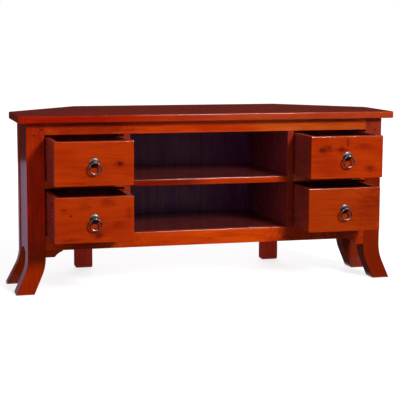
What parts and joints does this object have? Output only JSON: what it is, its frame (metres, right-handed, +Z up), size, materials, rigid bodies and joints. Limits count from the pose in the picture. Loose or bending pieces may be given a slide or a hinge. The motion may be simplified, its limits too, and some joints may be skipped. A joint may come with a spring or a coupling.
{
  "type": "corner tv cabinet",
  "caption": "Low corner TV cabinet in red-brown wood with splayed feet, ring-pull drawers on both sides and open centre bays.",
  "frame": {"origin": "middle of the object's rest outline, on the floor under its feet", "axes": "+X to the right of someone who faces the front, +Y towards the back, +Z up"},
  "size_m": [1.0152, 0.5244, 0.45],
  "materials": {
    "body_wood": "red-brown stain under gloss lacquer",
    "front_wood": "orange-red stain under gloss lacquer",
    "inner_wood": "dark stain, satin",
    "pull_metal": "dark antique, polished"
  },
  "bodies": {
    "cabinet": {"back_cleat": "inner_wood", "back_leg_left": "body_wood", "back_leg_right": "body_wood", "back_panel": "inner_wood", "bottom_panel": "inner_wood", "bottom_rail": "body_wood", "centre_shelf": "body_wood", "corner_panel_left": "body_wood", "corner_panel_right": "body_wood", "divider_left": "body_wood", "divider_right": "body_wood", "drawer_rail_left": "body_wood", "drawer_rail_right": "body_wood", "front_cleat": "inner_wood", "front_leg_left": "body_wood", "front_leg_right": "body_wood", "joint_peg_left_inner": "body_wood", "joint_peg_left_outer": "body_wood", "joint_peg_right_inner": "body_wood", "joint_peg_right_outer": "body_wood", "rail_bracket_left": "body_wood", "rail_bracket_right": "body_wood", "runner_left_inner": "inner_wood", "runner_left_outer": "inner_wood", "runner_right_inner": "inner_wood", "runner_right_outer": "inner_wood", "side_leg_left": "body_wood", "side_leg_right": "body_wood", "side_panel_left": "body_wood", "side_panel_right": "body_wood", "top_panel": "body_wood", "top_rail": "body_wood"},
    "upper_left_drawer": {"upper_left_drawer_back": "inner_wood", "upper_left_drawer_bottom": "inner_wood", "upper_left_drawer_front": "front_wood", "upper_left_drawer_left_side": "inner_wood", "upper_left_drawer_right_side": "inner_wood", "upper_left_pull_knob": "pull_metal"},
    "upper_left_pull_ring": {"upper_left_pull_ring": "pull_metal"},
    "lower_left_drawer": {"lower_left_drawer_back": "inner_wood", "lower_left_drawer_bottom": "inner_wood", "lower_left_drawer_front": "front_wood", "lower_left_drawer_left_side": "inner_wood", "lower_left_drawer_right_side": "inner_wood", "lower_left_pull_knob": "pull_metal"},
    "lower_left_pull_ring": {"lower_left_pull_ring": "pull_metal"},
    "upper_right_drawer": {"upper_right_drawer_back": "inner_wood", "upper_right_drawer_bottom": "inner_wood", "upper_right_drawer_front": "front_wood", "upper_right_drawer_left_side": "inner_wood", "upper_right_drawer_right_side": "inner_wood", "upper_right_pull_knob": "pull_metal"},
    "upper_right_pull_ring": {"upper_right_pull_ring": "pull_metal"},
    "lower_right_drawer": {"lower_right_drawer_back": "inner_wood", "lower_right_drawer_bottom": "inner_wood", "lower_right_drawer_front": "front_wood", "lower_right_drawer_left_side": "inner_wood", "lower_right_drawer_right_side": "inner_wood", "lower_right_pull_knob": "pull_metal"},
    "lower_right_pull_ring": {"lower_right_pull_ring": "pull_metal"}
  },
  "joints": [
    {"name": "upper_left_drawer_slide", "type": "slide", "parent": "cabinet", "child": "upper_left_drawer", "axis": [0, -1, 0], "range_m": [-0.13658, 0.047]},
    {"name": "upper_left_ring_swing", "type": "hinge", "parent": "upper_left_drawer", "child": "upper_left_pull_ring", "pos_m": [-0.326, -0.25473, 0.3444], "axis": [-1, 0, 0], "range_deg": [-15, 195]},
    {"name": "lower_left_drawer_slide", "type": "slide", "parent": "cabinet", "child": "lower_left_drawer", "axis": [0, -1, 0], "range_m": [-0.13658, 0.047]},
    {"name": "lower_left_ring_swing", "type": "hinge", "parent": "lower_left_drawer", "child": "lower_left_pull_ring", "pos_m": [-0.326, -0.25473, 0.2084], "axis": [-1, 0, 0], "range_deg": [-15, 195]},
    {"name": "upper_right_drawer_slide", "type": "slide", "parent": "cabinet", "child": "upper_right_drawer", "axis": [0, -1, 0], "range_m": [-0.12658, 0.057]},
    {"name": "upper_right_ring_swing", "type": "hinge", "parent": "upper_right_drawer", "child": "upper_right_pull_ring", "pos_m": [0.326, -0.24473, 0.3444], "axis": [-1, 0, 0], "range_deg": [-15, 195]},
    {"name": "lower_right_drawer_slide", "type": "slide", "parent": "cabinet", "child": "lower_right_drawer", "axis": [0, -1, 0], "range_m": [-0.11458, 0.069]},
    {"name": "lower_right_ring_swing", "type": "hinge", "parent": "lower_right_drawer", "child": "lower_right_pull_ring", "pos_m": [0.326, -0.23273, 0.2084], "axis": [-1, 0, 0], "range_deg": [-15, 195]}
  ]
}
